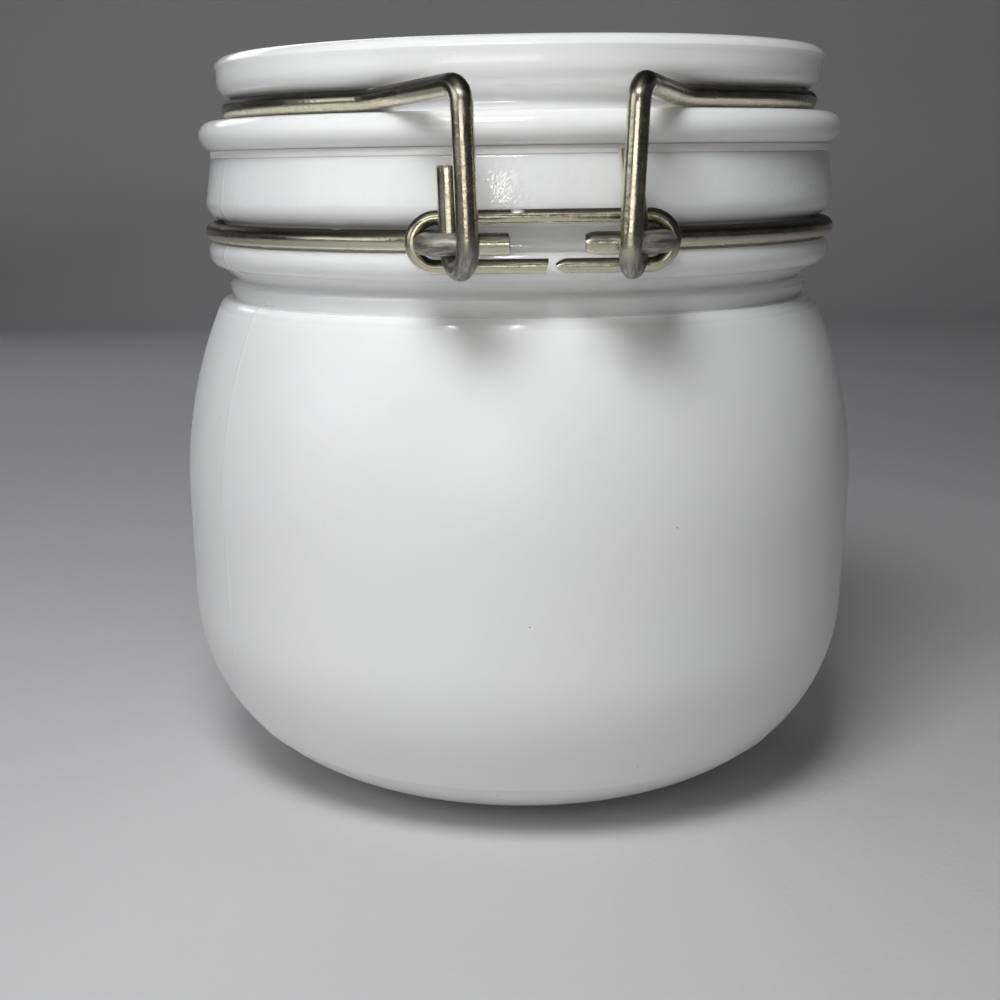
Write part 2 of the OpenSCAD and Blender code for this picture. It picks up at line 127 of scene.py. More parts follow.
# Wires
WIRE_BEND = 1.0
BEND_R = WIRE_R + WIRE_BEND
LEAD = 1.4 * BEND_R
PIN_Y = 55.075
FRONT_Y = 58.025
TURN_REACH = 2.95
HOOK_LOW_X = 9.95
HOOK_TOP_X = 10.75
HOOK_RISE = 1.25
SLANT_LEFT = math.radians(30)
SLANT_RIGHT = math.radians(25)
ARM_OUT_LEFT = 0.6
ARM_OUT_RIGHT = 1.7
ARM_BEND = 12.0
TWIST_LEFT = math.radians(18)
TWIST_RIGHT = math.radians(17)
BACK_LEAN = math.radians(9)
BACK_LEG_LEFT = 9.9
BACK_LEG_RIGHT = 11.8
PIN_TIP_X = 4.55
JOG_X = 12.3
JOG_SPREAD = math.radians(22.5)
LINK_R = 0.95
LINK_Y = 49.4
LINK_HALF_H = 3.125
LINK_GAP = 0.1
LINK_SPLIT = 0.9
SPLIT_X = 1.2
BAR_HALF = 10.0
PIVOT_Y = 53.225
EYE_X = 5.0
EYE_R = 2.925
LEVER_R = 1.4
CRANK_H = 8.0
HANDLE_L = 31.0
BAIL_R = 1.2
BAIL_EYE_R = 2.7
BAIL_X = 13.525
ARM_X = 17.025
LEVER_BEND = LEVER_R + WIRE_BEND
HANDLE_TILT = math.radians(8.908)
BAIL_L = 29.55
TONGUE_HALF = 5.0
TONGUE_Y = 54.5
LEVER_REST = math.radians(20)
BAIL_REST = math.radians(6)
HOOK_TOP = np.array([HOOK_TOP_X, -FRONT_Y, LID_RING_Z + HOOK_RISE])
HOOK_LOW = np.array([HOOK_LOW_X, -FRONT_Y, NECK_Z])

# Places where the wires rub, and how far the wear reaches
JOG_NOSE = np.array([JOG_X + 2.0, -PIN_Y, NECK_Z])
HOOK_FOOT = np.array([HOOK_LOW_X, TURN_REACH - FRONT_Y, NECK_Z - TURN_REACH])
JOG_WEAR = 4.5
HOOK_WEAR_RIGHT = 5.0
HOOK_WEAR_LEFT = 6.5

# Seams between the halves of the moulds
BODY_SEAMS = (-58.0, 122.0)
NECK_SEAMS = (-66.5, 113.5)
SEAM_H = 0.06
SEAM_W = 0.3
SEAM_LOW = 8.0
SEAM_RIM_GAP = 1.2
SEAM_FADE_LOW = 1.5
SEAM_FADE_HIGH = 0.8
SEAM_R = 48.0
SEAM_STEPS = (0, 0.12, 0.25, 0.4, 0.6, 0.9, 1.4)

# Ridge and step above the base plate of the mould; the two shares are parts of the line's width
BASE_LINE_Z = 8.06
BASE_LINE_W = 0.7
BASE_RIDGE_H = 0.11
BASE_RIDGE_SHARE = 0.3
BASE_STEP_H = 0.06
BASE_STEP_SHARE = 0.12
BASE_FOOT_W = 2
BASE_FADE_Z = 1.0
BASE_FADE_REACH = 4.0

# Waves in the glass: height, count round the jar, rise for one radian and shift
JAR_WAVES = ((0.03, 3, 11, 0.0), (0.02, 5, -7, 1.0))
LID_WAVES = ((0.02, 2, math.inf, 0.7), (0.015, 7, 1, 0.0))
JAR_CALM_FOOT_W = 1
JAR_CALM_Z = 6
JAR_CALM_REACH = 12
LID_CALM_R = 30
LID_CALM_REACH = 8
LID_CALM_LIFT = 0.4

# Fineness of the meshes
ARC_STEP = 0.12
BEND_STEP = 0.25
RING_STEP = 0.6
LINE_STEP = 0.1
GASKET_STEP = 0.06
JAR_SOFT = 0.2
LID_SOFT = 0.18
GASKET_SOFT = 0.12
GLASS_TOLERANCE = 0.008
GASKET_TOLERANCE = 0.006
JAR_LONGEST = 2.5
LID_LONGEST = 3.0
TURN_STEPS = 160
WIRE_STEP = 0.2
WIRE_LONGEST = 1.2
WIRE_TURN = 6.0
WIRE_END_POINTS = (2, 4, 6, 8)
WIRE_SIDES = 20
THIN_WIRE_SIDES = 16
SHARP_ANGLE = 35
CUT_REACH = 1.6
# Teeth of a ragged cut: height, count round the wire and shift
CUT_TEETH = ((1.0, 5, 1.0), (0.7, 9, 2.5))

# Colours
GLASS_COOL = (0.875, 0.882, 0.88)
GLASS_WARM = (0.9, 0.897, 0.902)
GLASS_GRAIN = (0.42, 0.38, 0.34)
RUBBER_DARK = (0.87, 0.865, 0.855)
RUBBER_PALE = (0.92, 0.915, 0.905)
NICKEL = (0.7, 0.665, 0.52)
TARNISHED = (0.4, 0.37, 0.27)
DIE_LINE = (0.28, 0.26, 0.195)
# Painted shade: near-black colour laid on the upper side of the wires in place of the dark reflection
# there
UPPER_SHADE = (0.028, 0.026, 0.02)
SCRAPED_DARK = (0.2, 0.195, 0.175)
SCRAPED_PALE = (0.46, 0.45, 0.41)
NICK = (0.8, 0.77, 0.69)
TABLE_DARK = (0.665, 0.657, 0.665)
TABLE_PALE = (0.695, 0.687, 0.695)
ROOM = (0.86, 0.9, 1.0, 1)
ROOM_STRENGTH = 0.025

# Materials: most of a noise's values lie in the middle range
NOISE_MID = (0.3, 0.7)
SCATTER = (1.0, 0.96, 0.92)
SCATTER_DEPTH = 0.005
# Heights between which the dull body turns glossy, and between which the neck has its marks
GLOSS_Z = (0.0732, 0.0738)
MARKS_LOW_Z = (0.0865, 0.089)
MARKS_HIGH_Z = (0.0955, 0.094)

# Camera and room
CAMERA_AT = (-0.01895, -0.25805, 0.09539)
CAMERA_YAW = 0.612
CAMERA_DOWN = 11.862
CAMERA_ROLL = -0.771
CAMERA_SENSOR = 36.0
CAMERA_LENS = 58.27
CAMERA_SHIFT = 0.12
CAMERA_NEAR = 0.01
LAMP_TARGET = Vector((0, 0, 0.07))
WALL_Y = 0.80
WALL_BEND = 0.10
WALL_BEND_STEPS = 13
WALL_TOP = 3.0
FLOOR_REACH = 4.0


def eased(value, start, reach):
    """0 up to the start, 1 after the reach, and even between them."""
    return np.clip((value - start) / reach, 0, 1)


def waves(table, a, z):
    """Sum of the waves in the glass, whose crests are at 0."""
    return sum(h * (np.sin(n * a + z / rise + shift) - 1) for h, n, rise, shift in table)


def arc(cx, cz, r, start, end):
    """Points of an arc in the half section, angles in degrees from the outward direction."""
    n = max(3, int(abs(math.radians(end - start)) * r / ARC_STEP))
    t = np.radians(np.linspace(start, end, n))
    return np.stack([cx + r * np.cos(t), cz + r * np.sin(t)], -1)


def spaced(points, step):
    """The same line with evenly spaced points."""
    points = np.asarray(points, float)
    d = np.linalg.norm(np.diff(points, axis=0), axis=1)
    keep = np.concatenate([[True], d > 1e-9])
    points = points[keep]
    s = np.concatenate([[0], np.cumsum(np.linalg.norm(np.diff(points, axis=0), axis=1))])
    t = np.linspace(0, s[-1], max(2, int(round(s[-1] / step)) + 1))
    return np.stack([np.interp(t, s, points[:, k]) for k in range(points.shape[1])], -1)


def softened(points, sigma, step=LINE_STEP, mirror_axis=False):
    """The line with its corners melted round, as on glass that came hot from the mould."""
    p = spaced(points, step)
    n = int(4 * sigma / step)
    x = np.arange(-n, n + 1) * step
    kernel = np.exp(-0.5 * (x / sigma) ** 2)
    kernel /= kernel.sum()
    if mirror_axis:
        flip = np.array([-1.0, 1.0])
        before, after = p[1:n + 1][::-1] * flip, p[-n - 1:-1][::-1] * flip
    else:
        before, after = 2 * p[0] - p[1:n + 1][::-1], 2 * p[-1] - p[-n - 1:-1][::-1]
    padded = np.concatenate([before, p, after])
    return np.stack([np.convolve(padded[:, k], kernel, "valid") for k in range(2)], -1)


def thinned(points, tolerance, longest):
    """Fewer points: close together only where the line bends."""
    keep = [0]
    i = 0
    while i < len(points) - 1:
        j = i + 1
        while j + 1 < len(points):
            chord = points[j + 1] - points[i]
            length = np.linalg.norm(chord)
            rel = points[i + 1:j + 1] - points[i]
            off = np.abs(rel[:, 0] * chord[1] - rel[:, 1] * chord[0]) / max(length, 1e-9)
            if length > longest or off.max() > tolerance:
                break
            j += 1
        keep.append(j)
        i = j
    return points[keep]


def outward(p):
    """Normals of a half section that runs with the glass on its left."""
    tangent = np.gradient(p, axis=0)
    tangent /= np.linalg.norm(tangent, axis=1)[:, None]
    return np.stack([tangent[:, 1], -tangent[:, 0]], -1)


def ring_faces(rings, sides, closed=False):
    """Faces between rings that follow each other, and from the last back to the first if closed."""
    faces = []
    for i in range(rings if closed else rings - 1):
        for j in range(sides):
            k, q = (j + 1) % sides, (i + 1) % rings
            faces.append((i * sides + j, i * sides + k, q * sides + k, q * sides + j))
    return faces


def cap_faces(rings, sides):
    """Fans over the first and last ring, round two middle points that come after the rings' own."""
    first, last, base = rings * sides, rings * sides + 1, (rings - 1) * sides
    faces = []
    for j in range(sides):
        k = (j + 1) % sides
        faces.append((first, k, j))
        faces.append((last, base + j, base + k))
    return faces


def new_mesh(name, verts, faces, sharp_angle=None):
    mesh = bpy.data.meshes.new(name)
    mesh.from_pydata((np.asarray(verts) * MM).tolist(), [], faces)
    mesh.validate()
    mesh.shade_smooth()
    if sharp_angle:
        mesh.set_sharp_from_angle(angle=math.radians(sharp_angle))
    obj = bpy.data.objects.new(name, mesh)
    bpy.context.scene.collection.objects.link(obj)
    return obj


def lathe(name, profile, a, relief):
    """Turns a half section that starts and ends on the axis. relief gives a height along the normal."""
    inner, normal = profile[1:-1], outward(profile)[1:-1]
    height = relief(inner, a)
    r = inner[:, 0, None] + normal[:, 0, None] * height
    z = inner[:, 1, None] + normal[:, 1, None] * height
    grid = np.stack([r * np.sin(a), -r * np.cos(a), z], -1).reshape(-1, 3)
    verts = np.concatenate([grid, [[0, 0, profile[0, 1]], [0, 0, profile[-1, 1]]]])
    return new_mesh(name, verts, ring_faces(len(inner), len(a)) + cap_faces(len(inner), len(a)))


def ring_lathe(name, profile, a):
    """Turns a closed half section that doesn't meet the axis."""
    p = profile[:-1]
    r, z = p[:, 0, None], p[:, 1, None] + 0 * a[None]
    verts = np.stack([r * np.sin(a), -r * np.cos(a), z], -1).reshape(-1, 3)
    return new_mesh(name, verts, ring_faces(len(p), len(a), closed=True))


def turn_angles(seams=()):
    """Angles round the axis in radians, with more of them where a mould seam runs."""
    a = list(np.linspace(-180, 180, TURN_STEPS, endpoint=False))
    for seam in seams:
        for off in SEAM_STEPS:
            for sign in (-1, 1):
                a.append((seam + sign * math.degrees(off / SEAM_R) + 180) % 360 - 180)
    a = np.unique(np.round(a, 4))
    return np.radians(a)


def jar_profile():
    ease_angle = math.asin((EASE_Z - BELLY_Z) / SHOULDER_ARC)
    ease_r = BODY_R - SHOULDER_ARC + SHOULDER_ARC * math.cos(ease_angle)
    bead_x = BEAD_OUT - BEAD_R
    top_r = NECK_R - NECK_DRAW
    outside = [
        arc(0, PUNT_H - PUNT_ARC, PUNT_ARC, 90, math.degrees(math.acos(PUNT_R / PUNT_ARC))),
        arc(HEEL_X, HEEL_R, HEEL_R, -90, 0),
        [[BODY_R, BELLY_Z]],
        arc(BODY_R - SHOULDER_ARC, BELLY_Z, SHOULDER_ARC, 0, math.degrees(ease_angle)),
        [[ease_r - EASE_W, SHOULDER_Z], [FOOT_R, SHOULDER_Z], [COLLAR_R, COLLAR_Z], [COLLAR_R, LIP_Z]],
        [[CREASE_R, CREASE_Z], [CREASE_R, CREASE_TOP]],
        arc(bead_x, BEAD_Z, BEAD_R, *BEAD_SWEEP),
        arc(NECK_WIRE_R, NECK_Z, GROOVE_R, *NECK_GROOVE_SWEEP),
        [[NECK_CORE_R, NECK_EDGE_Z - NECK_EDGE_R]],
        arc(NECK_R - NECK_EDGE_R, NECK_EDGE_Z, NECK_EDGE_R, *NECK_EDGE_SWEEP),
        [[top_r, RIM_Z - RIM_ROUND]],
        arc(top_r - RIM_ROUND, RIM_Z - RIM_ROUND, RIM_ROUND, 0, 90),
    ]
    hollow_r = BODY_R - WALL_T
    hollow_arc = (BELLY_RISE ** 2 + (hollow_r - MOUTH_R) ** 2) / (2 * (hollow_r - MOUTH_R))
    top = math.degrees(math.asin(BELLY_RISE / hollow_arc))
    heel_in = HEEL_R - WALL_T
    low = -math.degrees(math.asin((HEEL_R - FLOOR_T) / heel_in))
    inside = [
        arc(MOUTH_R + RIM_ROUND, RIM_Z - RIM_ROUND, RIM_ROUND, 90, 180),
        arc(hollow_r - hollow_arc, BELLY_Z, hollow_arc, top, 0),
        arc(HEEL_X, HEEL_R, heel_in, 0, low),
        [[HEEL_X, FLOOR_T], [0, FLOOR_T]],
    ]
    return np.concatenate([np.asarray(x, float) for x in outside + inside])


def base_line(p):
    """A low ridge round the heel where the base plate of the mould met its sides."""
    outer = (p[:, 0] > HEEL_X + BASE_FOOT_W) & (np.arange(len(p)) < len(p) // 2)
    d = (p[:, 1] - BASE_LINE_Z) / BASE_LINE_W
    ridge = BASE_RIDGE_H * np.exp(-(d / BASE_RIDGE_SHARE) ** 2)
    step = BASE_STEP_H / (1 + np.exp(d / BASE_STEP_SHARE))
    fade = eased(p[:, 1], BASE_FADE_Z, BASE_FADE_REACH)
    return p + outward(p) * ((ridge - step) * outer * fade)[:, None]


def jar_relief(p, a):
    """Mould seams and the slight waviness of pressed glass, on the outside only."""
    r, z = p[:, 0, None], p[:, 1, None]
    rim = int(np.argmax(p[:, 1]))
    outer = ((np.arange(len(p)) < rim) & (p[:, 0] > HEEL_X + JAR_CALM_FOOT_W)).astype(float)[:, None]
    height = np.zeros((len(p), len(a)))
    spans = ((BODY_SEAMS, SEAM_LOW, LIP_Z), (NECK_SEAMS, CREASE_TOP, RIM_Z - SEAM_RIM_GAP))
    for seams, low, high in spans:
        for seam in seams:
            away = (a[None] - math.radians(seam) + math.pi) % (2 * math.pi) - math.pi
            fade = eased(z, low, SEAM_FADE_LOW) * eased(high - z, 0, SEAM_FADE_HIGH)
            height += SEAM_H * np.exp(-(away * r / SEAM_W) ** 2) * fade
    return outer * (height + waves(JAR_WAVES, a[None], z) * eased(z, JAR_CALM_Z, JAR_CALM_REACH))


def lid_profile():
    edge_in = CORNER_R - MOULD_STEP - EDGE_W
    band_x = BAND_R - BAND_ROUND
    outside = [
        arc(0, PLUG_LOW + DOME_H - DOME_ARC, DOME_ARC, 90, math.degrees(math.acos(PLUG_IN / DOME_ARC))),
        [[PLUG_IN, PLUG_LOW], [PLUG_R, PLUG_LOW], [PLUG_R, SEAL_Z]],
        arc(FLANGE_R - FLANGE_BEAD, SEAL_Z + FLANGE_BEAD, FLANGE_BEAD, -90, 90),
        arc(LID_WIRE_R, LID_RING_Z, GROOVE_R, 270, 90),
        arc(band_x, BAND_LOW + BAND_ROUND, BAND_ROUND, *BAND_SWEEP),
        [[BAND_R, CORNER_Z - 2 * MOULD_LINE], [CORNER_R, CORNER_Z]],
        arc(edge_in, LID_TOP - EDGE_R, EDGE_R, math.degrees(math.asin(1 - EDGE_H / EDGE_R)), 90),
        [[0, LID_TOP]],
    ]
    return np.concatenate([np.asarray(x, float) for x in outside])


def lid_relief(p, a):
    """The slight waviness of the lid's edge and upper side."""
    r, z = p[:, 0, None], p[:, 1, None]
    outer = eased(r, LID_CALM_R, LID_CALM_REACH) * (z > SEAL_Z + LID_CALM_LIFT)
    return outer * waves(LID_WAVES, a[None], z)


def gasket_profile():
    """Flat ring whose lower outer edge is pressed over the rim's round edge."""
    low, high = RIM_Z + GASKET_LIFT, SEAL_Z
    mid = (GASKET_IN + GASKET_OUT) / 2
    rim_edge = NECK_R - NECK_DRAW - RIM_ROUND
    drop = RIM_ROUND - math.sqrt(RIM_ROUND ** 2 - (GASKET_OUT - rim_edge) ** 2)
    outer = [[rim_edge, low], [GASKET_OUT, low - drop], [GASKET_OUT, high]]
    inner = [[GASKET_IN, high], [GASKET_IN, low]]
    return np.asarray([[mid, low]] + outer + inner + [[mid, low]], float)


def ring_point(r, angle, z=0.0):
    return np.array([r * math.sin(angle), -r * math.cos(angle), z])


def tangent_point(r, angle, x, z=0.0):
    """Point on the ring's tangent at that angle, where it reaches the given x."""
    return ring_point(r, angle, z) - (r * math.sin(angle) - x) * np.array([1, math.tan(angle), 0])


def ring_arc(r, start, end, z):
    n = max(3, int(abs(end - start) * r / RING_STEP))
    t = np.linspace(start, end, n)
    return np.stack([r * np.sin(t), -r * np.cos(t), np.full(n, z)], -1)


def bent(corners, radii):
    """A wire's centre line through corners, each bent to its radius."""
    c = [np.asarray(x, float) for x in corners]
    out = [c[0]]
    for before, here, after, r in zip(c, c[1:], c[2:], np.broadcast_to(radii, len(c) - 2)):
        u = (here - before) / np.linalg.norm(here - before)
        v = (after - here) / np.linalg.norm(after - here)
        angle = math.acos(max(-1.0, min(1.0, float(u @ v))))
        if angle < 1e-4:
            continue
        side = (v - u) / np.linalg.norm(v - u)
        centre = here + side * r / math.cos(angle / 2)
        trim = r * math.tan(angle / 2)
        x = (here - u * trim) - centre
        n = max(4, int(angle * r / BEND_STEP))
        for t in np.linspace(0, angle, n):
            out.append(centre + x * math.cos(t) + u * r * math.sin(t))
    out.append(c[-1])
    return np.array(out)


def spun(centre, axis_u, axis_v, r, start, end):
    """An arc of a bend in the plane of two unit vectors, angles in degrees."""
    n = max(6, int(abs(math.radians(end - start)) * r / BEND_STEP))
    t = np.radians(np.linspace(start, end, n))[:, None]
    return np.asarray(centre) + r * (np.cos(t) * axis_u + np.sin(t) * axis_v)


def mirrored(points):
    return np.asarray(points) * np.array([-1.0, 1.0, 1.0])


def rot_x(angle):
    c, s = math.cos(angle), math.sin(angle)
    return np.array([[1, 0, 0], [0, c, -s], [0, s, c]])


def rot_y(angle):
    c, s = math.cos(angle), math.sin(angle)
    return np.array([[c, 0, s], [0, 1, 0], [-s, 0, c]])


def rot_z(angle):
    c, s = math.cos(angle), math.sin(angle)
    return np.array([[c, -s, 0], [s, c, 0], [0, 0, 1]])


def placed(points, *moves):
    """Applies turns and shifts in turn, the last one first, as in the part's source."""
    p = np.asarray(points, float)
    for move in reversed(moves):
        p = p @ move.T if np.ndim(move) == 2 else p + move
    return p


def wire_points(path):
    """Points no further apart than a length and a turn allow, and closer at the two cut ends."""
    p = spaced(path, WIRE_STEP)
    d = np.diff(p, axis=0)
    d /= np.linalg.norm(d, axis=1)[:, None]
    turn = np.concatenate([[0], np.degrees(np.arccos(np.clip((d[:-1] * d[1:]).sum(1), -1, 1))), [0]])
    last = len(p) - 1
    near = {k for i in WIRE_END_POINTS for k in (i, last - i)}
    keep, run, bend = [0], 0.0, 0.0
    for i in range(2, last - 1):
        run += WIRE_STEP
        bend += turn[i]
        if run >= WIRE_LONGEST or bend >= WIRE_TURN or i in near:
            keep.append(i)
            run = bend = 0.0
    keep.append(last)
    return p[keep]


# How a wire was cut off: the slant of the cut and its direction, its worn edge, the share by which the
# cutters pinched it flat and in which direction, and its burr. Directions are in degrees round the wire.
Cut = namedtuple("Cut", "slant towards worn pinch across ragged", defaults=(0.1, 0, 0.12, 0, 0, 0))


def tube(name, path, r, first=Cut(), last=Cut(), sides=WIRE_SIDES, rubbed=()):
    """A wire along a path, its ends cut as said. rubbed lists places worn dull, with their reach."""
    p = wire_points(path)
    t = np.gradient(p, axis=0)
    t /= np.linalg.norm(t, axis=1)[:, None]
    up = AXIS_Z if abs(t[0, 2]) < 0.9 else AXIS_Y
    u = up - (up @ t[0]) * t[0]
    u /= np.linalg.norm(u)
    theta = np.linspace(0, 2 * math.pi, sides, endpoint=False)
    teeth = sum(h * (1 - np.sin(n * theta + shift)) for h, n, shift in CUT_TEETH)
    s = np.concatenate([[0], np.cumsum(np.linalg.norm(np.diff(p, axis=0), axis=1))])
    frames = []
    for i in range(len(p)):
        u = u - (u @ t[i]) * t[i]
        u /= np.linalg.norm(u)
        frames.append((u.copy(), np.cross(t[i], u)))
    verts, co, above, wear = [], [], [], []

    def ring(i, shift, inset, end, from_end, inward):
        """One ring of points: shift is along the wire, from_end is its distance from the cut."""
        towards, across = math.radians(end.towards), math.radians(end.across)
        near = max(0.0, 1 - from_end / CUT_REACH)
        push = inward * near * (end.slant * (1 - np.cos(theta - towards)) + end.ragged * teeth)
        flat = end.pinch * near ** 2
        a, b = (r - inset) * np.cos(theta), (r - inset) * np.sin(theta)
        along = a * math.cos(across) + b * math.sin(across)
        a = a - flat * along * math.cos(across)
        b = b - flat * along * math.sin(across)
        centre = p[i] + t[i] * shift
        side, over = frames[i]
        verts.extend(centre + a[:, None] * side + b[:, None] * over + push[:, None] * t[i])
        above.extend(math.cos(th) * side[2] + math.sin(th) * over[2] for th in theta)
        co.extend(np.stack([s[i] + shift + push, r * np.cos(theta), r * np.sin(theta)], -1))
        rub = max((1 - np.linalg.norm(p[i] - place) / reach for place, reach in rubbed), default=0.0)
        wear.extend([max(0.0, rub)] * sides)

    end = len(p) - 1
    rings = [(0, 0.0, first.worn, first, 0.0, 1), (0, first.worn, 0.0, first, 0.0, 1)]
    for i in range(1, end):
        low, high = s[i], s[-1] - s[i]
        rings.append((i, 0.0, 0.0, first, low, 1) if low < high else (i, 0.0, 0.0, last, high, -1))
    rings += [(end, -last.worn, 0.0, last, 0.0, -1), (end, 0.0, last.worn, last, 0.0, -1)]
    for settings in rings:
        ring(*settings)
    verts.extend([np.mean(verts[:sides], axis=0), np.mean(verts[-sides:], axis=0)])
    co.extend([np.array([s[0], 0.0, 0.0]), np.array([s[-1], 0.0, 0.0])])
    above.extend([0.0, 0.0])
    wear.extend([wear[0], wear[-1]])
    faces = ring_faces(len(rings), sides) + cap_faces(len(rings), sides)
    obj = new_mesh(name, np.array(verts), faces, SHARP_ANGLE)
    attribute = obj.data.attributes.new("wire_co", "FLOAT_VECTOR", "POINT")
    attribute.data.foreach_set("vector", (np.array(co) * MM).astype(np.float32).ravel())
    for key, values in (("wire_up", above), ("wire_wear", wear)):
        attribute = obj.data.attributes.new(key, "FLOAT", "POINT")
        attribute.data.foreach_set("value", np.array(values, np.float32))
    return obj


def neck_ring_path():
    """From the tip of the right pin round the jog, the ring and the pivot bar to the left pin."""
    z = NECK_Z
    jog_angle = math.asin((JOG_X + LEAD) / NECK_WIRE_R)
    bar_angle = math.asin((BAR_HALF + LEAD) / NECK_WIRE_R)
    jog_start = ring_point(NECK_WIRE_R, jog_angle, z)
    jog_corner = tangent_point(NECK_WIRE_R, jog_angle, JOG_X, z)
    pin_corner = np.array([JOG_X + (PIN_Y + jog_corner[1]) * math.tan(JOG_SPREAD), -PIN_Y, z])
    pin_tip = np.array([PIN_TIP_X, -PIN_Y, z])
    pin = bent([pin_tip, pin_corner, jog_corner, jog_start], BEND_R)
    right = np.concatenate([pin, ring_arc(NECK_WIRE_R, jog_angle, math.pi - bar_angle, z)])
    start = ring_point(NECK_WIRE_R, bar_angle, z) * TO_LATCH
    corner = tangent_point(NECK_WIRE_R, bar_angle, BAR_HALF, z) * TO_LATCH
    end = np.array([BAR_HALF, PIVOT_Y, z])
    bar = bent([start, corner, end, mirrored(end), mirrored(corner), mirrored(start)], BEND_R)
    return np.concatenate([right, bar, mirrored(right)[::-1]])


def arm_corner(slant, out):
    """Where a lid wire's arm, on its line from the hook, comes within a distance of the ring."""
    away = np.array([math.sin(slant), math.cos(slant)])
    along = HOOK_TOP[:2] @ away
    r = LID_WIRE_R + out
    run = -along - math.sqrt(along ** 2 - HOOK_TOP[:2] @ HOOK_TOP[:2] + r ** 2)
    return np.array([*(HOOK_TOP[:2] + run * away), LID_RING_Z])


def lid_wire_half(slant, out, twist, back, tongue_angle):
    """Right-hand half from the tip of the back leg: return under the pin, hook, arm and ring."""
    lean = math.atan((HOOK_TOP_X - HOOK_LOW_X) / (HOOK_TOP[2] - NECK_Z))
    turn_r = TURN_REACH / math.cos(twist)
    side, low = rot_z(-twist) @ AXIS_X, rot_z(-twist) @ AXIS_Y
    leg = bent([low * 2 * turn_r + side * u + AXIS_Z * w for u, w in back], BEND_R)
    under = spun(low * turn_r, low, AXIS_Z, turn_r, 0, -180)
    lower = np.concatenate([leg, under]) @ rot_y(lean).T + HOOK_LOW
    corner = arm_corner(slant, out)
    angle = math.atan2(corner[0], -corner[1]) + math.acos(LID_WIRE_R / math.hypot(corner[0], corner[1]))
    landing = ring_point(LID_WIRE_R, angle, LID_RING_Z)
    arm = bent([HOOK_LOW, HOOK_TOP, corner, landing], (BEND_R, ARM_BEND))
    return np.concatenate([lower, arm, ring_arc(LID_WIRE_R, angle, math.pi - tongue_angle, LID_RING_Z)])


def lid_ring_path():
    """From the tip of the right back leg round hook, ring and tongue to the left back leg."""
    z = LID_RING_Z
    tongue_angle = math.asin((TONGUE_HALF + LEAD) / LID_WIRE_R)
    start = ring_point(LID_WIRE_R, tongue_angle, z) * TO_LATCH
    corner = tangent_point(LID_WIRE_R, tongue_angle, TONGUE_HALF, z) * TO_LATCH
    end = np.array([TONGUE_HALF, TONGUE_Y, z])
    tongue = bent([start, corner, end, mirrored(end), mirrored(corner), mirrored(start)], BEND_R)
    bend_z = BEND_R * math.tan(BACK_LEAN)
    run = BACK_LEG_RIGHT - bend_z
    tip = (-run * math.sin(BACK_LEAN), bend_z + run * math.cos(BACK_LEAN))
    right_leg = [tip, (0, bend_z), (0, 0)]
    left_leg = [(0, BACK_LEG_LEFT), (0, 0)]
    right = lid_wire_half(SLANT_RIGHT, ARM_OUT_RIGHT, TWIST_RIGHT, right_leg, tongue_angle)
    left = lid_wire_half(SLANT_LEFT, ARM_OUT_LEFT, TWIST_LEFT, left_leg, tongue_angle)
    return np.concatenate([right, tongue, mirrored(left)[::-1]])


def link_path():
    """Oval round both jogs of the neck ring, split in its lower run."""
    jog_angle = math.asin((JOG_X + LEAD) / NECK_WIRE_R)
    jog_y = tangent_point(NECK_WIRE_R, jog_angle, JOG_X)[1]
    beside = (WIRE_R + LINK_GAP + LINK_R) / math.cos(JOG_SPREAD)
    end_x = JOG_X + (LINK_Y + jog_y) * math.tan(JOG_SPREAD) + beside - LINK_HALF_H
    path = [
        [[SPLIT_X + LINK_SPLIT / 2, 0, -LINK_HALF_H]],
        spun(AXIS_X * end_x, AXIS_X, AXIS_Z, LINK_HALF_H, -90, 90),
        spun(-AXIS_X * end_x, AXIS_X, AXIS_Z, LINK_HALF_H, 90, 270),
        [[SPLIT_X - LINK_SPLIT / 2, 0, -LINK_HALF_H]],
    ]
    return np.concatenate(path) + np.array([0, -LINK_Y, NECK_Z])


def lever_path():
    """From the right eye through crank and handle to the left eye."""
    eye = spun([EYE_X, 0, 0], AXIS_Y, AXIS_Z, EYE_R, -90, 180)
    knee_x = ARM_X - LEVER_BEND
    crank = bent([[EYE_X, -EYE_R, 0], [EYE_X, -EYE_R, -CRANK_H], [knee_x, -EYE_R, -CRANK_H]], LEVER_BEND)
    knee = spun([knee_x, 0, -LEVER_BEND], AXIS_X, AXIS_Z, LEVER_BEND, 90, 0)
    low = bent([[ARM_X, 0, -LEVER_BEND], [ARM_X, 0, -HANDLE_L], [0, 0, -HANDLE_L]], LEVER_BEND)
    handle = placed(np.concatenate([knee, low]), np.array([0, -EYE_R, -CRANK_H]), rot_x(HANDLE_TILT))
    half = np.concatenate([eye, crank, handle])
    path = np.concatenate([half, mirrored(half)[::-1]])
    return placed(path, np.array([0, PIVOT_Y, NECK_Z]), rot_x(LEVER_REST))


def bail_path():
    """From the right eye over the bar to the left eye."""
    eye = spun([BAIL_X, 0, 0], AXIS_Y, AXIS_Z, BAIL_EYE_R, 90, 360)
    corners = [[BAIL_X, BAIL_EYE_R, 0], [BAIL_X, BAIL_EYE_R, BAIL_L], [0, BAIL_EYE_R, BAIL_L]]
    half = np.concatenate([eye, bent(corners, LEVER_BEND)])
    path = np.concatenate([half, mirrored(half)[::-1]])
    return placed(path, np.array([0, PIVOT_Y, NECK_Z]), rot_x(LEVER_REST),
                  np.array([0, -EYE_R, -CRANK_H]), rot_x(-LEVER_REST - BAIL_REST))


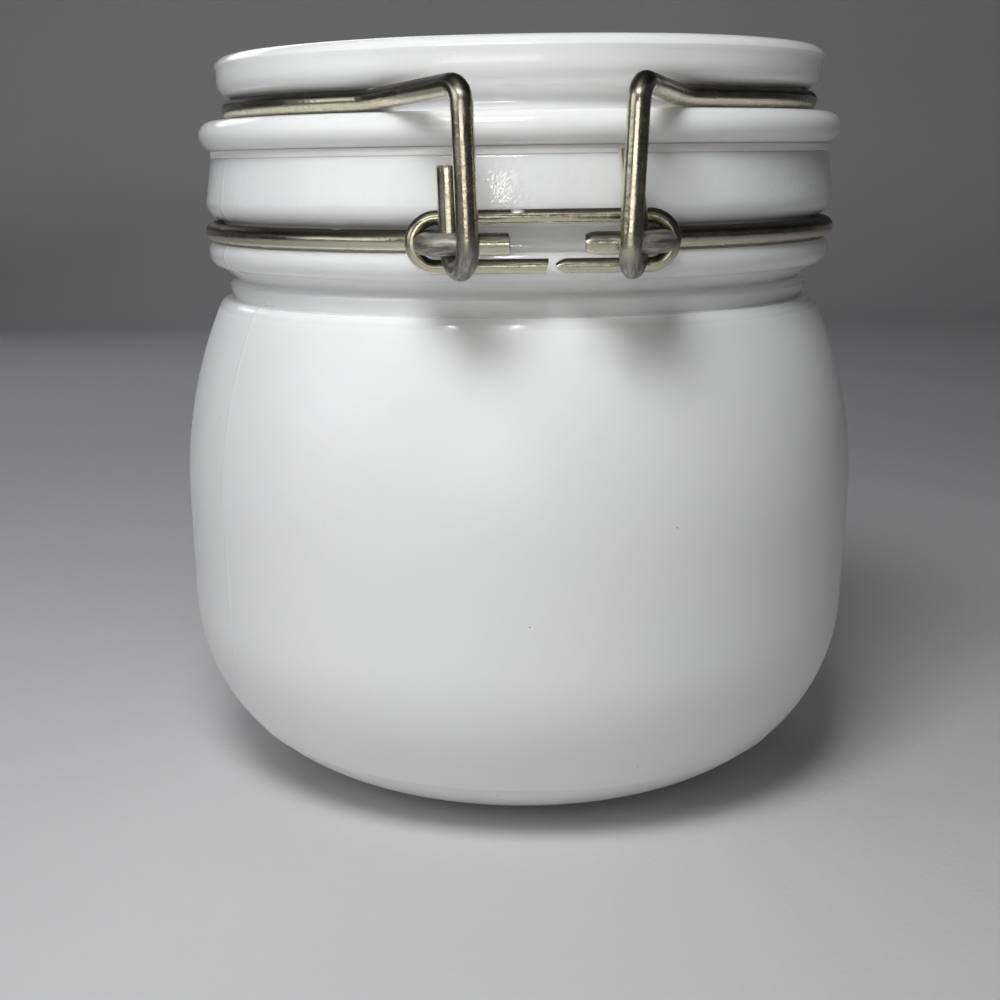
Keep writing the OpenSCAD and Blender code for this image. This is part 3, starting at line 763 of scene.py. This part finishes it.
class Shader:
    """A material and short ways to add nodes to it."""

    def __init__(self, name):
        self.material = bpy.data.materials.new(name)
        self.material.use_nodes = True
        self.tree = self.material.node_tree
        self.tree.nodes.clear()
        out = self.add("ShaderNodeOutputMaterial")
        self.bsdf = self.add("ShaderNodeBsdfPrincipled")
        self.link(self.bsdf.outputs[0], out.inputs["Surface"])

    def add(self, kind, **settings):
        node = self.tree.nodes.new(kind)
        for key, value in settings.items():
            setattr(node, key, value)
        return node

    def link(self, source, target):
        self.tree.links.new(source, target)

    def set(self, **values):
        """Sets constants on the shader's own sockets."""
        for key, value in values.items():
            self.bsdf.inputs[key.replace("_", " ")].default_value = value

    def finish(self, colour, roughness, normal):
        """Links what varies over the surface, and gives the material."""
        self.link(colour, self.bsdf.inputs["Base Color"])
        self.link(roughness, self.bsdf.inputs["Roughness"])
        self.link(normal, self.bsdf.inputs["Normal"])
        return self.material

    def coords(self):
        return self.add("ShaderNodeTexCoord").outputs["Object"]

    def wire_coords(self):
        return self.add("ShaderNodeAttribute", attribute_name="wire_co").outputs["Vector"]

    def wire_value(self, name):
        return self.add("ShaderNodeAttribute", attribute_name=name).outputs["Fac"]

    def parts(self, kind, source):
        """Outputs of a node that takes a vector or a colour apart."""
        node = self.add(kind)
        self.link(source, node.inputs[0])
        return node.outputs

    def stretched(self, vector, scale):
        node = self.add("ShaderNodeMapping")
        node.inputs["Scale"].default_value = scale
        self.link(vector, node.inputs["Vector"])
        return node.outputs[0]

    def strokes(self, vector, tilt, across, along):
        """Coordinates for marks that lean from upright by tilt degrees, seen along Y."""
        node = self.add("ShaderNodeMapping", vector_type="TEXTURE")
        node.inputs["Rotation"].default_value = (0.0, math.radians(tilt), 0.0)
        node.inputs["Scale"].default_value = (across, across, along)
        self.link(vector, node.inputs["Vector"])
        return node.outputs[0]

    def noise(self, vector, scale, detail=2.0, roughness=0.5):
        node = self.add("ShaderNodeTexNoise")
        node.inputs["Scale"].default_value = scale
        node.inputs["Detail"].default_value = detail
        node.inputs["Roughness"].default_value = roughness
        self.link(vector, node.inputs["Vector"])
        return node.outputs["Fac"]

    def cells(self, vector, scale):
        """Distance from the middle of a cell, and a random number for each cell."""
        node = self.add("ShaderNodeTexVoronoi")
        node.inputs["Scale"].default_value = scale
        self.link(vector, node.inputs["Vector"])
        return node.outputs["Distance"], self.parts("ShaderNodeSeparateColor", node.outputs["Color"])[0]

    def ramp(self, value, low, high, to_low=0.0, to_high=1.0):
        node = self.add("ShaderNodeMapRange", interpolation_type="SMOOTHSTEP")
        for key, v in (("From Min", low), ("From Max", high), ("To Min", to_low), ("To Max", to_high)):
            node.inputs[key].default_value = v
        self.link(value, node.inputs["Value"])
        return node.outputs["Result"]

    def math(self, operation, a, b):
        node = self.add("ShaderNodeMath", operation=operation)
        for socket, v in zip(node.inputs, (a, b)):
            if isinstance(v, (int, float)):
                socket.default_value = v
            else:
                self.link(v, socket)
        return node.outputs[0]

    def mix(self, factor, a, b):
        """Mix of two colours, each a tuple or a socket."""
        node = self.add("ShaderNodeMix", data_type="RGBA")
        self.link(factor, node.inputs[0])
        for socket, v in ((node.inputs[6], a), (node.inputs[7], b)):
            if isinstance(v, tuple):
                socket.default_value = (*v, 1.0)
            else:
                self.link(v, socket)
        return node.outputs[2]

    def mix_values(self, factor, a, b):
        node = self.add("ShaderNodeMix", data_type="FLOAT")
        for socket, v in zip((node.inputs[0], node.inputs[2], node.inputs[3]), (factor, a, b)):
            self.link(v, socket)
        return node.outputs[0]

    def bump(self, height, distance, normal=None):
        node = self.add("ShaderNodeBump")
        node.inputs["Distance"].default_value = distance
        node.inputs["Strength"].default_value = 1.0
        self.link(height, node.inputs["Height"])
        if normal is not None:
            self.link(normal, node.inputs["Normal"])
        return node.outputs[0]


def milk_glass(name):
    """Opal glass: pale mottle, dark grains, glossy neck and lid with broken chill marks, duller body."""
    s = Shader(name)
    co = s.coords()
    s.set(Metallic=0.0, IOR=1.5)
    s.set(Subsurface_Weight=0.6, Subsurface_Radius=SCATTER, Subsurface_Scale=SCATTER_DEPTH)
    z = s.parts("ShaderNodeSeparateXYZ", co)["Z"]
    neck = s.ramp(z, *GLOSS_Z)
    mottle = s.ramp(s.noise(co, scale=45.0, detail=3.0), *NOISE_MID)
    colour = s.mix(mottle, GLASS_COOL, GLASS_WARM)
    distance, chosen = s.cells(co, scale=210.0)
    grain = s.math("MULTIPLY", s.ramp(distance, 0.035, 0.015), s.ramp(chosen, 0.62, 0.66))
    colour = s.mix(grain, colour, GLASS_GRAIN)
    scuff = s.noise(co, scale=380.0, detail=4.0, roughness=0.65)
    dull = s.ramp(scuff, 0.2, 0.8, to_low=0.29, to_high=0.32)
    glossy = s.ramp(scuff, 0.2, 0.8, to_low=0.07, to_high=0.13)
    rough = s.mix_values(neck, dull, glossy)
    swell = s.bump(s.noise(co, scale=90.0, detail=1.0), distance=0.00004)
    grit = s.bump(s.noise(co, scale=1400.0), distance=0.000004, normal=swell)
    band = s.math("MULTIPLY", s.ramp(z, *MARKS_LOW_Z), s.ramp(z, *MARKS_HIGH_Z))
    lines = s.strokes(co, tilt=28.0, across=0.0006, along=0.0014)
    marks = s.math("MULTIPLY", s.noise(lines, scale=1.0, detail=1.0), band)
    return s.finish(colour, rough, s.bump(marks, distance=0.000045, normal=grit))


def rubber(name):
    """Off-white rubber, matt and slightly uneven."""
    s = Shader(name)
    co = s.coords()
    s.set(Metallic=0.0, IOR=1.5)
    colour = s.mix(s.ramp(s.noise(co, scale=220.0, detail=3.0), *NOISE_MID), RUBBER_DARK, RUBBER_PALE)
    rough = s.ramp(s.noise(co, scale=900.0), *NOISE_MID, to_low=0.45, to_high=0.65)
    return s.finish(colour, rough, s.bump(s.noise(co, scale=1500.0), distance=0.00004))


def nickel_wire(name, tarnish, worn):
    """Drawn wire with die lines, olive tarnish, painted shade on its upper side, scraped spots and
    nicks.
    """
    s = Shader(name)
    co = s.wire_coords()
    s.set(Metallic=1.0)
    blotches = s.noise(s.stretched(co, (0.3, 1.0, 1.0)), scale=260.0, detail=5.0, roughness=0.7)
    patch = s.ramp(blotches, 0.7 - tarnish, 1.1 - tarnish)
    lines = s.noise(s.stretched(co, (35.0, 2600.0, 2600.0)), scale=1.0)
    colour = s.mix(patch, NICKEL, TARNISHED)
    colour = s.mix(s.ramp(lines, 0.4, 0.75, to_high=0.4), colour, DIE_LINE)
    # Painted shade: the upward-facing half of each wire is darkened to near-black, its edge ragged by
    # noise, and made rougher
    edge = s.math("MULTIPLY", s.noise(s.stretched(co, (0.4, 1.0, 1.0)), scale=500.0, detail=3.0), 0.3)
    upper_shade = s.ramp(s.math("ADD", s.wire_value("wire_up"), edge), 0.28, 0.6, to_high=0.95)
    colour = s.mix(upper_shade, colour, UPPER_SHADE)
    grit = s.noise(s.stretched(co, (0.3, 1.0, 1.0)), scale=1500.0, detail=3.0, roughness=0.6)
    rubbed = s.ramp(s.math("ADD", s.wire_value("wire_wear"), s.math("MULTIPLY", grit, 0.4)), 0.3, 0.75)
    scraped = s.mix(s.ramp(grit, 0.38, 0.68), SCRAPED_DARK, SCRAPED_PALE)
    colour = s.mix(rubbed, colour, scraped)
    distance, chosen = s.cells(s.stretched(co, (0.5, 1.0, 1.0)), scale=620.0)
    nick = s.math("MULTIPLY", s.ramp(distance, 0.34, 0.1), s.ramp(chosen, 0.86 - worn, 0.89 - worn))
    colour = s.mix(nick, colour, NICK)
    rough = s.ramp(s.noise(co, scale=420.0, detail=3.0), 0.3, 0.75, to_low=0.2, to_high=0.3)
    dull = s.math("ADD", s.math("MULTIPLY", rubbed, 0.22), s.math("MULTIPLY", upper_shade, 0.22))
    rough = s.math("ADD", rough, dull)
    fine = s.bump(lines, distance=0.00003)
    pits = s.math("ADD", nick, s.noise(co, scale=900.0))
    dents = s.bump(pits, distance=0.00005, normal=fine)
    return s.finish(colour, rough, dents)


def table(name):
    """Plain pale table top with a slight mottle."""
    s = Shader(name)
    co = s.coords()
    s.set(Metallic=0.0, IOR=1.45)
    colour = s.mix(s.ramp(s.noise(co, scale=6.0), *NOISE_MID), TABLE_DARK, TABLE_PALE)
    rough = s.ramp(s.noise(co, scale=300.0), *NOISE_MID, to_low=0.5, to_high=0.62)
    return s.finish(colour, rough, s.bump(s.noise(co, scale=900.0), distance=0.00005))


def dress(obj, body, node, material):
    obj.data.materials.append(material)
    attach(obj, body)
    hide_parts(node)


GLASS = milk_glass("milk_glass")
RUBBER = rubber("ivory_rubber")
RING_WIRE = nickel_wire("ring_wire", tarnish=0.1, worn=0.03)
LINK_WIRE = nickel_wire("link_wire", tarnish=0.04, worn=0.0)

jar_line = base_line(softened(jar_profile(), JAR_SOFT, mirror_axis=True))
jar_line = np.maximum(jar_line, 0)
jar_line[0, 0] = jar_line[-1, 0] = 0
jar = lathe("jar_glass", thinned(jar_line, GLASS_TOLERANCE, JAR_LONGEST),
            turn_angles(BODY_SEAMS + NECK_SEAMS), jar_relief)
dress(jar, "jar", "jar_body", GLASS)

lid_line = softened(lid_profile(), LID_SOFT, mirror_axis=True)
lid_line[0, 0] = lid_line[-1, 0] = 0
lid_line[:, 1] = np.minimum(lid_line[:, 1], LID_TOP)
lid = lathe("lid_glass", thinned(lid_line, GLASS_TOLERANCE, LID_LONGEST), turn_angles(), lid_relief)
dress(lid, "lid_set", "lid", GLASS)

gasket_line = softened(gasket_profile(), GASKET_SOFT, GASKET_STEP)
gasket = ring_lathe("gasket_ring", thinned(gasket_line, GASKET_TOLERANCE, LID_LONGEST), turn_angles())
dress(gasket, "lid_set", "gasket", RUBBER)

neck_wire = tube("neck_wire", neck_ring_path(), WIRE_R,
                 Cut(slant=0.1, towards=90, worn=0.1, pinch=0.25, ragged=0.12),
                 Cut(slant=0.12, towards=160),
                 rubbed=((JOG_NOSE, JOG_WEAR), (mirrored(JOG_NOSE), JOG_WEAR)))
dress(neck_wire, "jar", "neck_ring", RING_WIRE)
lid_wire = tube("lid_wire", lid_ring_path(), WIRE_R,
                Cut(slant=0.3, towards=200, worn=0.1),
                Cut(slant=0.05, worn=0.1, ragged=0.1),
                rubbed=((HOOK_FOOT, HOOK_WEAR_RIGHT), (mirrored(HOOK_FOOT), HOOK_WEAR_LEFT)))
dress(lid_wire, "lid_set", "lid_ring", RING_WIRE)
oval = tube("oval_link", link_path(), LINK_R,
            Cut(worn=0.1, pinch=0.65), Cut(slant=0.22, worn=0.06), THIN_WIRE_SIDES)
dress(oval, "jar", "hinge_link", LINK_WIRE)
lever = tube("lever_wire", lever_path(), LEVER_R)
dress(lever, "lever", "latch_lever", RING_WIRE)
bail = tube("bail_wire", bail_path(), BAIL_R, sides=THIN_WIRE_SIDES)
dress(bail, "link", "latch_link", LINK_WIRE)


def backdrop():
    """Floor that runs up into a wall behind the jar."""
    foot = WALL_Y - WALL_BEND
    line = [(-FLOOR_REACH, 0.0), (foot, 0.0)]
    for t in np.radians(np.linspace(0, 90, WALL_BEND_STEPS))[1:]:
        line.append((foot + WALL_BEND * math.sin(t), WALL_BEND - WALL_BEND * math.cos(t)))
    line.append((WALL_Y, WALL_TOP))
    verts = [(x, y, z) for y, z in line for x in (-FLOOR_REACH, FLOOR_REACH)]
    faces = [(2 * i, 2 * i + 1, 2 * i + 3, 2 * i + 2) for i in range(len(line) - 1)]
    mesh = bpy.data.meshes.new("floor")
    mesh.from_pydata(verts, [], faces)
    mesh.shade_smooth()
    obj = bpy.data.objects.new("floor", mesh)
    bpy.context.scene.collection.objects.link(obj)
    mesh.materials.append(table("table"))


def area_light(name, azimuth, elevation, distance, size, watts, colour):
    """Soft box that looks at the jar."""
    a, e = math.radians(azimuth), math.radians(elevation)
    away = Vector((math.sin(a) * math.cos(e), -math.cos(a) * math.cos(e), math.sin(e)))
    data = bpy.data.lights.new(name, "AREA")
    data.shape = "RECTANGLE"
    data.size, data.size_y = size
    data.energy = watts
    data.color = colour
    obj = bpy.data.objects.new(name, data)
    obj.location = LAMP_TARGET + away * distance
    obj.rotation_mode = "QUATERNION"
    obj.rotation_quaternion = (-away).to_track_quat("-Z", "Y")
    bpy.context.scene.collection.objects.link(obj)


def camera():
    """Camera at the photograph's viewing angle, as fitted to the jar's edges."""
    data = bpy.data.cameras.new("camera")
    data.sensor_width = CAMERA_SENSOR
    data.lens = CAMERA_LENS
    data.shift_x = CAMERA_SHIFT
    data.clip_start = CAMERA_NEAR
    obj = bpy.data.objects.new("camera", data)
    obj.location = CAMERA_AT
    yaw = Matrix.Rotation(math.radians(CAMERA_YAW), 4, "Z")
    pitch = Matrix.Rotation(math.radians(90 - CAMERA_DOWN), 4, "X")
    roll = Matrix.Rotation(math.radians(CAMERA_ROLL), 4, "Z")
    obj.rotation_mode = "QUATERNION"
    obj.rotation_quaternion = (yaw @ pitch @ roll).to_quaternion()
    bpy.context.scene.collection.objects.link(obj)
    bpy.context.scene.camera = obj


def room_light():
    world = bpy.data.worlds.new("room")
    world.use_nodes = True
    shade = world.node_tree.nodes["Background"]
    shade.inputs["Color"].default_value = ROOM
    shade.inputs["Strength"].default_value = ROOM_STRENGTH
    bpy.context.scene.world = world


backdrop()
area_light("key", azimuth=-17, elevation=48.5, distance=0.36,
           size=(0.14, 0.12), watts=0.9, colour=(0.985, 0.995, 1.0))
area_light("left", azimuth=-65, elevation=18, distance=0.6,
           size=(0.4, 0.3), watts=0.42, colour=(0.97, 0.985, 1.0))
area_light("front", azimuth=-13, elevation=4, distance=0.7,
           size=(0.46, 0.12), watts=0.46, colour=(1.0, 0.985, 0.93))
area_light("glint", azimuth=-9, elevation=15, distance=0.9,
           size=(0.12, 0.02), watts=0.15, colour=(1.0, 0.98, 0.94))
area_light("back", azimuth=-158, elevation=28, distance=0.7,
           size=(0.5, 0.2), watts=0.5, colour=(0.95, 0.97, 1.0))
camera()
room_light()
bpy.context.scene.view_settings.view_transform = "Standard"
